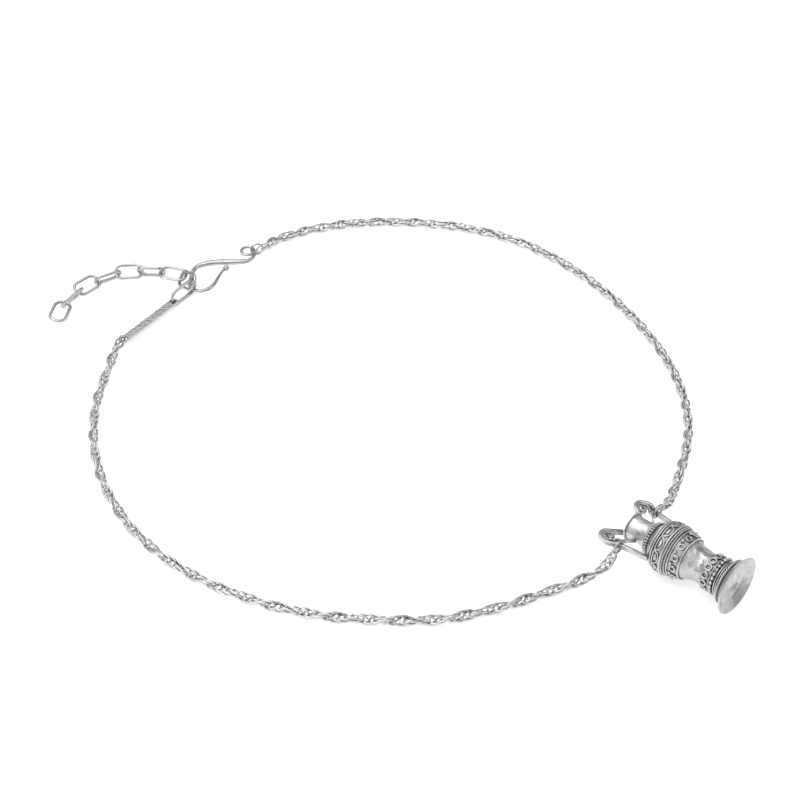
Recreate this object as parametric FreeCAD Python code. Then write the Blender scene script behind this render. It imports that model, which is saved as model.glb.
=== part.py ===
"""Silver necklace with a two-handled amphora pendant, lying in a ring on a table.

Millimetres, +Z up, table at z = 0. The pendant's foot points along -Y, the clasp is at +Y.
The amphora is drawn upright (foot at height 0, mouth at the top) and then laid on its side.
"""
import FreeCAD
import Part
import math
import os
from FreeCAD import Vector as V

# ---- where the plan origin sits: the middle of the metal pieces' box, on the table
PLAN_SHIFT = V(9.24, 3.8, 0)

# ---- amphora, upright: height above the foot and outside radius of the plain vessel
FOOT_RADIUS = 6.4
AMPHORA_HEIGHT = 26.2
WALL = 0.45
PROFILE = [
    (0.0, FOOT_RADIUS), (0.35, 6.2), (0.8, 5.6), (1.3, 4.95), (1.7, 4.5), (2.2, 4.12),
    (2.8, 3.78), (3.4, 3.55), (4.05, 3.45), (4.7, 3.55), (5.8, 3.68), (6.8, 3.58),
    (7.5, 3.46), (8.3, 3.45), (9.2, 3.58), (10.2, 3.9), (11.0, 4.22), (11.8, 4.5),
    (12.8, 4.76), (13.8, 4.98), (14.8, 5.16), (15.8, 5.34), (16.6, 5.4), (17.3, 5.26),
    (18.0, 4.95), (18.7, 4.48), (19.4, 3.9), (20.1, 3.42), (20.8, 3.12), (21.6, 2.86),
    (22.8, 2.66), (24.0, 2.6), (25.2, 2.66), (AMPHORA_HEIGHT, 2.85),
]
FOOT_TOP = 2.2
COLLAR_TOP = 6.95
WAIST_TOP = 11.15
BELLY_TOP = 17.5
SHOULDER_TOP = 20.8
# dished floor inside the foot: distance from the axis and height of its face; its rim's heights
FLOOR_DISH = [(0, 2.6), (1.4, 2.55), (2.5, 2.35), (3.3, 2.02), (3.95, 1.6)]
FLOOR_RIM = [1.75, 2.0, 2.3, 2.65, 3.0, 3.4]
SOLDER_GAP = 0.012

# plain wires round the vessel: height and wire radius
SHOULDER_WIRES = [(18.3, 0.19), (17.75, 0.19)]
GIRDLE_WIRE = (15.4, 0.26)
BELLY_WIRES = [(14.25, 0.15), (13.75, 0.15)]
BORDER_WIRE = (11.5, 0.2)
COLLAR_WIRES = [(4.72, 0.12), (3.32, 0.14), (2.78, 0.14)]
# twisted wires, as plain ones: height and radius of the whole twist
GIRDLE_TWIST = (14.8, 0.2)
FOOT_TWIST = (1.8, 0.25)
# granule rows: height, granule radius, count
NECK_GRANULES = [(20.72, 0.2, 46), (20.2, 0.2, 50)]
BEAD_ROW = (4.05, 0.44, 25)
BELLY_GRANULES = (13.12, 0.36, 12)
# wire rings laid flat on the vessel: height, outer radius, wire radius, count
BELLY_RINGS = (12.58, 0.74, 0.16, 12)
COLLAR_RINGS = (5.82, 0.84, 0.18, 14)
# scallops: top and bottom height, width, wire radius, count; the dome inside each one
SCALLOP_TOP = 17.25
SCALLOP_BOTTOM = 15.8
SCALLOP_WIDTH = 2.85
SCALLOP_WIRE = 0.15
SCALLOPS = 11
SCALLOP_DOME = 0.42
SCALLOP_DOME_HEIGHT = 0.32

# handles: centre line in the handle's plane, distance from the axis and height
HANDLE_THICKNESS = 0.75
HANDLE_WIDTH = 1.2
HANDLE_LINE = [(5.78, 18.0), (6.35, 23.2), (6.75, 25.2), (7.75, 27.1), (6.95, 29.5),
               (5.3, 29.45), (2.95, 26.27)]
HANDLE_RADII = [4.0, 3.5, 1.6, 1.05, 0.9]
RIBBON_THICKNESS = 0.42
RIBBON_WIDTH = 1.0
RIBBON_LINE = [(3.0, 22.9), (4.9, 24.4), (5.85, 26.0), (7.1, 27.15), (6.52, 28.89), (5.61, 28.86),
               (4.75, 27.65), (5.2, 26.6), (6.2, 27.1), (6.0, 28.1)]
RIBBON_RADII = [1.6, 2.0, 1.0, 0.5, 0.35, 0.5, 0.5, 0.4]
HANDLE_GRANULES = [(6.72, 25.75), (7.0, 26.45)]
HANDLE_GRANULE_RADIUS = 0.3

# ---- how the amphora lies: foot rim and girdle wire touch the table
FOOT_AT = V(-0.5, -91.0, 0)
ROLL = math.radians(4.0)

# ---- rope chain, as plain cords of its outer diameter
CHAIN_DIAMETER = 2.2
LEFT_CHAIN = [
    (-9.15, -66.7, 4.95), (-11.2, -66.8, 3.0), (-15.0, -64.8, 1.35), (-22.2, -61.6, 1.12),
    (-32.6, -56.8, 1.12), (-43.4, -50.1, 1.12), (-51.5, -40.9, 1.12), (-58.9, -31.0, 1.12),
    (-64.3, -19.9, 1.12), (-67.8, -8.0, 1.12), (-69.0, 3.6, 1.12), (-67.8, 15.6, 1.12),
    (-63.6, 28.0, 1.12), (-56.9, 39.2, 1.12), (-47.9, 48.6, 1.12), (-40.4, 53.9, 1.12),
    (-35.2, 57.2, 1.15), (-31.45, 59.75, 1.6),
]
RIGHT_CHAIN = [
    (8.55, -66.1, 4.7), (10.2, -65.9, 4.2), (12.9, -64.9, 2.4), (16.9, -63.2, 1.25),
    (24.2, -60.2, 1.12), (34.4, -54.9, 1.12), (43.6, -46.5, 1.12), (51.1, -35.8, 1.12),
    (57.0, -22.6, 1.12), (60.6, -9.2, 1.12), (62.0, 4.0, 1.12), (61.2, 16.7, 1.12),
    (56.7, 29.0, 1.12), (50.4, 39.2, 1.12), (41.8, 49.0, 1.12), (32.5, 56.0, 1.12),
    (25.4, 59.3, 1.12), (20.8, 60.7, 1.2), (16.85, 60.35, 1.6),
]

# ---- end rings of the chain: outer radius, wire radius
END_RING_RADIUS = 1.7
END_RING_WIRE = 0.25
GRIP_OFFSET = 0.6

# ---- tag bar
BAR_LENGTH = 19.0
BAR_WIDTH = 1.9
BAR_THICKNESS = 0.75
BAR_HOLE_RADIUS = 0.68
BAR_HOLE_INSET = 1.25
BAR_UNDERSIDE = 1.15
BAR_AT = V(-20.3, 60.75, 0)
BAR_ANGLE = math.radians(4.6)

# ---- extender links
LINK_WIRE = 0.4
LINK_LENGTH = 7.15
LINK_WIDTH = 4.5
LINK_CORNER = 1.4
BAR_LINK_LENGTH = 8.8
# how each link lies: centre, heading, pitch of the heading end, roll (0 flat, 90 on edge)
LINKS = {
    "bar_link": (-8.12, 61.73, 2.25, 4.6, 0, 90),
    "extender_link_8": (-5.0, 63.82, 2.65, 78.4, -18.5, -48.6),
    "extender_link_7": (-4.9, 68.84, 1.91, -63.4, -0.6, 5.9),
    "extender_link_6": (-7.9, 73.31, 2.06, -50.9, -0.2, 117.5),
    "extender_link_5": (-11.47, 77.38, 1.89, -42.7, -0.7, 15.6),
    "extender_link_4": (-16.4, 79.47, 2.04, -18.2, -0.2, 123.4),
    "extender_link_3": (-21.6, 80.99, 1.87, -2.8, 0.8, 15.6),
    "extender_link_2": (-26.98, 80.15, 1.93, 7.1, 0.5, 124.9),
    "extender_end_link": (-31.77, 79.03, 1.24, 29.9, 2.3, 8.0),
}

# ---- hook clasp: centre line and wire radius from the eye to the ball
HOOK_LEVEL = 1.58
HOOK_LINE = [
    (14.3, 60.3, 0.36), (13.2, 59.6, 0.42), (12.1, 59.25, 0.5), (11.0, 59.3, 0.57),
    (10.1, 59.75, 0.64), (9.2, 60.55, 0.7), (8.0, 61.8, 0.76), (6.5, 63.4, 0.8),
    (5.0, 64.8, 0.8), (3.4, 65.9, 0.76), (1.9, 66.6, 0.7), (0.5, 66.75, 0.64),
    (-1.0, 66.2, 0.58), (-2.3, 65.2, 0.52), (-3.7, 64.2, 0.47), (-4.9, 63.1, 0.45),
    (-5.5, 61.8, 0.44), (-5.3, 60.4, 0.43), (-4.4, 59.3, 0.42), (-2.8, 58.7, 0.4),
    (-1.0, 58.95, 0.36), (0.6, 59.6, 0.32), (2.5, 60.5, 0.29), (4.5, 61.2, 0.28),
]
BALL_AT = (5.3, 61.15)
BALL_RADIUS = 0.75
EYE_AT = (13.5, 62.1)
EYE_RADIUS = 1.55
EYE_WIRE = 0.4

nodes = {}


def add(name, shape):
    """Keep a finished node; a list becomes a group of separate solids."""
    if isinstance(shape, list):
        shape = Part.makeCompound(shape)
    nodes[name] = shape


# ---------------------------------------------------------------- paths and sweeps
def rounded(points, radii, closed=False):
    """Straight runs joined by tangent arcs, as a list of edges."""
    count = len(points)
    corners = range(count) if closed else range(1, count - 1)
    cuts = {}
    for place, i in enumerate(corners):
        before, here, after = points[i - 1], points[i], points[(i + 1) % count]
        a = (before - here).normalize()
        b = (after - here).normalize()
        half = a.getAngle(b) / 2
        reach = radii[place] / math.tan(half)
        centre = here + (a + b).normalize() * (radii[place] / math.sin(half))
        middle = centre + (here - centre).normalize() * radii[place]
        cuts[i] = (here + a * reach, middle, here + b * reach)
    edges = []
    legs = count if closed else count - 1
    for i in range(legs):
        j = (i + 1) % count
        start = cuts[i][2] if i in cuts else points[i]
        end = cuts[j][0] if j in cuts else points[j]
        if (end - start).Length > 1e-6:
            edges.append(Part.LineSegment(start, end).toShape())
        if j in cuts:
            edges.append(Part.Arc(*cuts[j]).toShape())
    return edges


def fused(shapes):
    whole = shapes[0].fuse(shapes[1:]) if len(shapes) > 1 else shapes[0]
    if whole.ShapeType == "Compound" and len(whole.Solids) == 1:
        whole = whole.Solids[0]
    return whole


def along(edges, face_at):
    """One solid from a profile carried along edges; face_at(point, tangent) gives the profile."""
    pieces = []
    for edge in edges:
        start = edge.valueAt(edge.FirstParameter)
        tangent = edge.tangentAt(edge.FirstParameter)
        face = face_at(start, tangent)
        if isinstance(edge.Curve, Part.Line):
            pieces.append(face.extrude(edge.valueAt(edge.LastParameter) - start))
        else:
            circle = edge.Curve
            turn = math.degrees(edge.LastParameter - edge.FirstParameter)
            axis = circle.Axis
            if (circle.Axis.cross(start - circle.Center)).dot(tangent) < 0:
                axis = circle.Axis * -1
            pieces.append(face.revolve(circle.Center, axis, turn))
    return fused(pieces)


def disc(radius):
    def face_at(point, tangent):
        return Part.Face(Part.Wire(Part.makeCircle(radius, point, tangent)))
    return face_at


def strip(thickness, width, normal):
    """Rectangular section: thickness in the path's plane, width along its normal."""
    def face_at(point, tangent):
        across = tangent.cross(normal).normalize() * (thickness / 2)
        up = normal * (width / 2)
        corners = [point + across + up, point + across - up, point - across - up,
                   point - across + up]
        return Part.Face(Part.makePolygon(corners + corners[:1]))
    return face_at


# ---------------------------------------------------------------- amphora, upright
profile_curve = Part.BSplineCurve()
profile_curve.interpolate([V(r, 0, h) for h, r in PROFILE])


def curve_parameter(height):
    """Where the profile curve reaches a height."""
    low, high = profile_curve.FirstParameter, profile_curve.LastParameter
    for _ in range(60):
        middle = (low + high) / 2
        if profile_curve.value(middle).z < height:
            low = middle
        else:
            high = middle
    return (low + high) / 2


def surface_at(height):
    """Point on the vessel and outward normal, in the XZ half plane."""
    u = curve_parameter(height)
    tangent = profile_curve.tangent(u)[0]
    return profile_curve.value(u), V(tangent.z, 0, -tangent.x)


def shell(low, high, wall=WALL):
    """Hollow vessel section between two heights."""
    outer = profile_curve.copy()
    outer.segment(curve_parameter(low), curve_parameter(high))
    heights = [low] + [h for h, _ in PROFILE if low + 0.2 < h < high - 0.2] + [high]
    inner = Part.BSplineCurve()
    inner.interpolate([V(surface_at(h)[0].x - wall, 0, h) for h in heights])
    outer_edge, inner_edge = outer.toShape(), inner.toShape()
    ends = [(outer_edge.valueAt(outer_edge.FirstParameter), V(surface_at(low)[0].x - wall, 0, low)),
            (outer_edge.valueAt(outer_edge.LastParameter), V(surface_at(high)[0].x - wall, 0, high))]
    edges = [outer_edge, inner_edge] + [Part.makeLine(a, b) for a, b in ends]
    face = Part.Face(Part.Wire(Part.__sortEdges__(edges)))
    return face.revolve(V(0, 0, 0), V(0, 0, 1), 360)


def around(shape, count, offset=0.0):
    """Copies of one piece spaced evenly round the vessel's axis."""
    copies = []
    for i in range(count):
        copy = shape.copy()
        copy.rotate(V(0, 0, 0), V(0, 0, 1), 360.0 * (i + offset) / count)
        copies.append(copy)
    return copies


def wire_round(height, radius):
    """Plain wire soldered round the vessel."""
    point, normal = surface_at(height)
    centre = point + normal * (radius + SOLDER_GAP)
    return Part.makeTorus(centre.x, radius, V(0, 0, centre.z), V(0, 0, 1))


def granule_at(height, radius):
    point, normal = surface_at(height)
    return Part.makeSphere(radius, point + normal * (radius + SOLDER_GAP))


def flat_ring_at(height, outer, wire):
    """Small wire ring lying against the vessel."""
    point, normal = surface_at(height)
    centre = point + normal * (wire + 0.03)
    return Part.makeTorus(outer - wire, wire, centre, normal)


def scallop():
    """D-shaped wire loop that follows the belly, straight side up."""
    middle = (SCALLOP_TOP + SCALLOP_BOTTOM) / 2
    half = SCALLOP_WIDTH / 2 - SCALLOP_WIRE
    rise = (SCALLOP_TOP - SCALLOP_BOTTOM) / 2 - SCALLOP_WIRE
    outline = [(-half, rise), (0, rise), (half, rise), (half, -0.1), (half * 0.5, -rise),
               (-half * 0.5, -rise), (-half, -0.1)]
    points = []
    for across, up in outline:
        point, normal = surface_at(middle + up)
        point = point + normal * (SCALLOP_WIRE + 0.045)
        angle = across / point.x
        points.append(V(point.x * math.cos(angle), point.x * math.sin(angle), point.z))
    edges = rounded(points, [0.2, 3.0, 0.2, 0.42, 0.5, 0.5, 0.42], closed=True)
    return along(edges, disc(SCALLOP_WIRE))


def dome_at(height, radius, rise):
    """Low rounded boss with a flat back against the vessel."""
    point, normal = surface_at(height)
    back = point + normal * SOLDER_GAP
    ball = Part.makeSphere(radius, back - normal * (radius - rise))
    room = Part.makeCylinder(2 * radius, 2 * radius, back, normal)
    return ball.common(room)


def handle(side, wires):
    """Strap from the shoulder wires round the volute to the lip, with the ribbon that rises
    from the neck and curls up inside the volute; side is +1 or -1."""
    normal = V(0, 1, 0)
    line = [V(side * x, 0, z) for x, z in HANDLE_LINE]
    strap = along(rounded(line, HANDLE_RADII), strip(HANDLE_THICKNESS, HANDLE_WIDTH, normal))
    line = [V(side * x, 0, z) for x, z in RIBBON_LINE]
    ribbon = along(rounded(line, RIBBON_RADII), strip(RIBBON_THICKNESS, RIBBON_WIDTH, normal))
    ribbon = ribbon.cut(strap)
    body = fused([shell(18.0, AMPHORA_HEIGHT), Part.makeCylinder(2.4, 12, V(0, 0, 17))])
    for wire in wires:
        strap = strap.cut(wire)
    strap = strap.cut(body)
    ribbon = ribbon.cut(body)
    out = HANDLE_WIDTH / 2 + HANDLE_GRANULE_RADIUS + SOLDER_GAP
    granules = [Part.makeSphere(HANDLE_GRANULE_RADIUS, V(side * x, face * out, z))
                for x, z in HANDLE_GRANULES for face in (1, -1)]
    return strap, ribbon, granules


def biggest(shape):
    return max(shape.Solids, key=lambda s: s.Volume)


amphora = {}
amphora["amphora_foot"] = shell(0.0, FOOT_TOP)
amphora["amphora_collar"] = shell(FOOT_TOP, COLLAR_TOP)
amphora["amphora_waist"] = shell(COLLAR_TOP, WAIST_TOP)
amphora["amphora_belly"] = shell(WAIST_TOP, BELLY_TOP)
amphora["amphora_shoulder"] = shell(BELLY_TOP, SHOULDER_TOP)
amphora["amphora_neck"] = shell(SHOULDER_TOP, AMPHORA_HEIGHT)
dish = Part.BSplineCurve()
dish.interpolate([V(x, 0, h) for x, h in FLOOR_DISH])
rim = [V(FLOOR_DISH[-1][0], 0, FLOOR_DISH[-1][1])]
rim += [V(surface_at(h)[0].x - WALL - 0.08, 0, h) for h in FLOOR_RIM] + [V(0, 0, FLOOR_RIM[-1])]
floor_edges = [dish.toShape(), Part.makeLine(rim[-1], V(0, 0, FLOOR_DISH[0][1]))]
floor_edges += [Part.makeLine(a, b) for a, b in zip(rim, rim[1:])]
floor_face = Part.Face(Part.Wire(Part.__sortEdges__(floor_edges)))
amphora["amphora_inner_floor"] = floor_face.revolve(V(0, 0, 0), V(0, 0, 1), 360)
lip_point, _ = surface_at(AMPHORA_HEIGHT - 0.22)
amphora["mouth_lip_wire"] = Part.makeTorus(lip_point.x + 0.2 + SOLDER_GAP, 0.2,
                                           V(0, 0, AMPHORA_HEIGHT - 0.22), V(0, 0, 1))
amphora["neck_base_granules"] = [g for h, r, n in NECK_GRANULES
                                 for g in around(granule_at(h, r), n)]
amphora["shoulder_wires"] = [wire_round(h, r) for h, r in SHOULDER_WIRES]
amphora["scallop_loops"] = around(scallop(), SCALLOPS, 0.3)
scallop_middle = (SCALLOP_TOP + SCALLOP_BOTTOM) / 2
amphora["scallop_domes"] = around(dome_at(scallop_middle, SCALLOP_DOME, SCALLOP_DOME_HEIGHT),
                                  SCALLOPS, 0.3)
amphora["girdle_wire"] = wire_round(*GIRDLE_WIRE)
amphora["girdle_twisted_wire"] = wire_round(*GIRDLE_TWIST)
amphora["belly_wires"] = [wire_round(h, r) for h, r in BELLY_WIRES]
amphora["belly_granules"] = around(granule_at(*BELLY_GRANULES[:2]), BELLY_GRANULES[2], 0.5)
amphora["belly_rings"] = around(flat_ring_at(*BELLY_RINGS[:3]), BELLY_RINGS[3])
amphora["belly_border_wire"] = wire_round(*BORDER_WIRE)
amphora["collar_rings"] = around(flat_ring_at(*COLLAR_RINGS[:3]), COLLAR_RINGS[3])
amphora["collar_wires"] = [wire_round(h, r) for h, r in COLLAR_WIRES]
amphora["collar_beads"] = around(granule_at(*BEAD_ROW[:2]), BEAD_ROW[2])
amphora["foot_twisted_wire"] = wire_round(*FOOT_TWIST)
for word, side in (("near", 1), ("far", -1)):
    strap, ribbon, granules = handle(side, [amphora["mouth_lip_wire"]] + amphora["shoulder_wires"])
    amphora[word + "_handle_strap"] = biggest(strap)
    amphora[word + "_handle_ribbon"] = biggest(ribbon)
    amphora[word + "_handle_granules"] = granules

# ---- lay the amphora down
girdle_point, girdle_normal = surface_at(GIRDLE_WIRE[0])
girdle_centre = girdle_point + girdle_normal * (GIRDLE_WIRE[1] + SOLDER_GAP)


def lowest(tilt):
    """Table clearance of the girdle wire less that of the foot rim, at a tilt."""
    rim = FOOT_RADIUS * math.cos(tilt)
    girdle = girdle_centre.x * math.cos(tilt) + GIRDLE_WIRE[1] + girdle_centre.z * math.sin(tilt)
    return girdle - rim


tilt_low, tilt_high = 0.0, 0.2
for _ in range(50):
    tilt = (tilt_low + tilt_high) / 2
    if lowest(tilt) > 0:
        tilt_high = tilt
    else:
        tilt_low = tilt
AXIS_HEIGHT = FOOT_RADIUS * math.cos(tilt)
to_mouth = V(0, math.cos(tilt), -math.sin(tilt))
over = V(0, math.sin(tilt), math.cos(tilt))
near_side = V(-1, 0, 0) * math.cos(ROLL) + over * math.sin(ROLL)
third = to_mouth.cross(near_side)
foot_centre = FOOT_AT + V(0, 0, AXIS_HEIGHT)
lay = FreeCAD.Matrix(near_side.x, third.x, to_mouth.x, foot_centre.x,
                     near_side.y, third.y, to_mouth.y, foot_centre.y,
                     near_side.z, third.z, to_mouth.z, foot_centre.z,
                     0, 0, 0, 1)
for name, shape in amphora.items():
    add(name, shape)
    nodes[name].transformShape(lay)


# ---------------------------------------------------------------- rope chain
def chain(name, route):
    """Plain cord along the route; prints each bend's radius and checks the volume."""
    points = [V(*p) for p in route]
    radii = []
    for i in range(1, len(points) - 1):
        a, b = points[i] - points[i - 1], points[i + 1] - points[i]
        radii.append(0.45 * min(a.Length, b.Length) / math.tan(a.getAngle(b) / 2))
    path = Part.Wire(rounded(points, radii))
    start = path.OrderedEdges[0]
    section = Part.Wire(Part.makeCircle(CHAIN_DIAMETER / 2, points[0],
                                        start.tangentAt(start.FirstParameter)))
    tube = path.makePipeShell([section], True, False)
    ideal = math.pi * (CHAIN_DIAMETER / 2) ** 2 * path.Length
    print(name, "length", round(path.Length, 1), "radii", [round(r, 1) for r in radii],
          "volume ratio", round(tube.Volume / ideal, 4))
    add(name, tube)


chain("left_rope_chain", LEFT_CHAIN)
chain("right_rope_chain", RIGHT_CHAIN)


def end_ring(centre, direction, up):
    """Round ring in the plane of direction and up."""
    return Part.makeTorus(END_RING_RADIUS - END_RING_WIRE, END_RING_WIRE, centre,
                          direction.cross(up).normalize())


def laid(x, z):
    """Point of the handle's plane, once the amphora is laid down."""
    return foot_centre + near_side * x + to_mouth * z


near_out = V(-1, 0, 0)
far_out = V(1, 0, 0)
near_ring_at = laid(6.5, 24.3) + near_out * GRIP_OFFSET
far_ring_at = laid(-6.62, 24.75) + far_out * GRIP_OFFSET
add("near_handle_ring", end_ring(near_ring_at, near_out, V(0, 0, 1)))
add("far_handle_ring", end_ring(far_ring_at, far_out, V(0, 0, 1)))
print("handle rings", [round(c, 3) for c in near_ring_at], [round(c, 3) for c in far_ring_at])

# ---------------------------------------------------------------- tag bar
bar_dir = V(math.cos(BAR_ANGLE), math.sin(BAR_ANGLE), 0)
bar_side = V(-bar_dir.y, bar_dir.x, 0)
bar_low = BAR_AT + V(0, 0, BAR_UNDERSIDE)
half_bar, half_width = BAR_LENGTH / 2, BAR_WIDTH / 2
outline = [bar_low + bar_dir * (sx * half_bar) + bar_side * (sy * half_width)
           for sx, sy in ((-1, -1), (1, -1), (1, 1), (-1, 1))]
bar_wire = Part.Wire(rounded(outline, [0.6] * 4, closed=True))
bar = Part.Face(bar_wire).extrude(V(0, 0, BAR_THICKNESS))
bar_hole_left = bar_low - bar_dir * (half_bar - BAR_HOLE_INSET)
bar_hole_right = bar_low + bar_dir * (half_bar - BAR_HOLE_INSET)
for hole in (bar_hole_left, bar_hole_right):
    bar = bar.cut(Part.makeCylinder(BAR_HOLE_RADIUS, 3, hole - V(0, 0, 1)))
add("tag_bar", bar)
bar_ring_at = bar_hole_left - bar_dir * (END_RING_RADIUS - END_RING_WIRE)
bar_ring_at.z = END_RING_RADIUS
add("bar_end_ring", end_ring(bar_ring_at, bar_dir, V(0, 0, 1)))


# ---------------------------------------------------------------- links
def link(name, length=LINK_LENGTH):
    """Oval wire link, laid by its centre, heading, pitch and roll."""
    x, y, z, heading, pitch, roll = LINKS[name]
    heading, pitch, roll = (math.radians(angle) for angle in (heading, pitch, roll))
    forward = V(math.cos(heading) * math.cos(pitch), math.sin(heading) * math.cos(pitch),
                math.sin(pitch))
    level = V(-math.sin(heading), math.cos(heading), 0)
    upward = forward.cross(level)
    across = level * math.cos(roll) + upward * math.sin(roll)
    a, b = length / 2 - LINK_WIRE, LINK_WIDTH / 2 - LINK_WIRE
    points = [V(x, y, z) + forward * (sx * a) + across * (sy * b)
              for sx, sy in ((-1, -1), (1, -1), (1, 1), (-1, 1))]
    return along(rounded(points, [LINK_CORNER] * 4, closed=True), disc(LINK_WIRE))


for name in LINKS:
    add(name, link(name, BAR_LINK_LENGTH if name == "bar_link" else LINK_LENGTH))

# ---------------------------------------------------------------- hook clasp
sections = []
for i, (x, y, radius) in enumerate(HOOK_LINE):
    before = HOOK_LINE[max(i - 1, 0)]
    after = HOOK_LINE[min(i + 1, len(HOOK_LINE) - 1)]
    tangent = V(after[0] - before[0], after[1] - before[1], 0)
    sections.append(Part.Wire(Part.makeCircle(radius, V(x, y, HOOK_LEVEL), tangent)))
shaft = Part.makeLoft(sections, True, False)
eye_centre = V(EYE_AT[0], EYE_AT[1], HOOK_LEVEL)
eye = Part.makeTorus(EYE_RADIUS, EYE_WIRE, eye_centre, V(0, 0, 1))
add("hook_clasp", fused([shaft, eye]))
ball = Part.makeSphere(BALL_RADIUS, V(BALL_AT[0], BALL_AT[1], HOOK_LEVEL))
add("hook_ball", ball.cut(shaft))
clasp_out = V(0.848, -0.53, 0).normalize()
clasp_ring_at = V(eye_centre.x, eye_centre.y, END_RING_RADIUS) + clasp_out * (EYE_RADIUS + 0.72)
add("clasp_end_ring", end_ring(clasp_ring_at, clasp_out, V(0, 0, 1)))

# ---------------------------------------------------------------- place and export
os.makedirs("parts", exist_ok=True)
box = FreeCAD.BoundBox()
for name, shape in nodes.items():
    shape.translate(PLAN_SHIFT)
    if not name.endswith("_rope_chain"):
        box.add(shape.optimalBoundingBox())
    shape.exportStep(os.path.join("parts", name + ".step"))
print("metal box centre", round(box.Center.x, 3), round(box.Center.y, 3), "lowest", round(box.ZMin, 3))
print("nodes", len(nodes), "tilt", round(math.degrees(tilt), 3), "axis height", round(AXIS_HEIGHT, 3))
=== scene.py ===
"""Silver necklace with a two-handled amphora pendant, dressed for rendering (metres, +Z up)."""
import math
import random
import bpy
from mathutils import Matrix, Vector, noise


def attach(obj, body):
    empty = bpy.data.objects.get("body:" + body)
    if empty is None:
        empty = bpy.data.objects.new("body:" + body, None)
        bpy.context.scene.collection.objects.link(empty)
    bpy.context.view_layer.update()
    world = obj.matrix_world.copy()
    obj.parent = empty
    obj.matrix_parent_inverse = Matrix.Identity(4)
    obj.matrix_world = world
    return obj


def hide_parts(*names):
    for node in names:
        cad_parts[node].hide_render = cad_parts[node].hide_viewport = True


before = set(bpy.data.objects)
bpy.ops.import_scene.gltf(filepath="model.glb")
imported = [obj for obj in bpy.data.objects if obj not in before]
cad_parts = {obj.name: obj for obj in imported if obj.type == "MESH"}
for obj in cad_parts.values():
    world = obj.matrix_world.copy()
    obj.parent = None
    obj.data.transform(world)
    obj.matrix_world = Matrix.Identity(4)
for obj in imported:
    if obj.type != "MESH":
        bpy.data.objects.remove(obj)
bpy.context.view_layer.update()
random.seed(7)
MM = 0.001
SHIFT = Vector((9.24, 3.8, 0.0))
UP = Vector((0, 0, 1))

# ---------------------------------------------------------------- camera
camera = bpy.data.objects.new("camera", bpy.data.cameras.new("camera"))
bpy.context.scene.collection.objects.link(camera)
azimuth, elevation = math.radians(48.0), math.radians(43.0)
CAMERA_DISTANCE = 435.0
look = Vector((math.sin(azimuth) * math.cos(elevation), math.cos(azimuth) * math.cos(elevation),
               -math.sin(elevation)))
camera.location = (SHIFT - look * CAMERA_DISTANCE) * MM
camera.rotation_euler = look.to_track_quat("-Z", "Y").to_euler()
camera.data.sensor_width = 36.0
camera.data.lens = 87.1
camera.data.clip_start = 0.01
bpy.context.scene.camera = camera
bpy.context.scene.view_settings.view_transform = "Standard"


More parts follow.
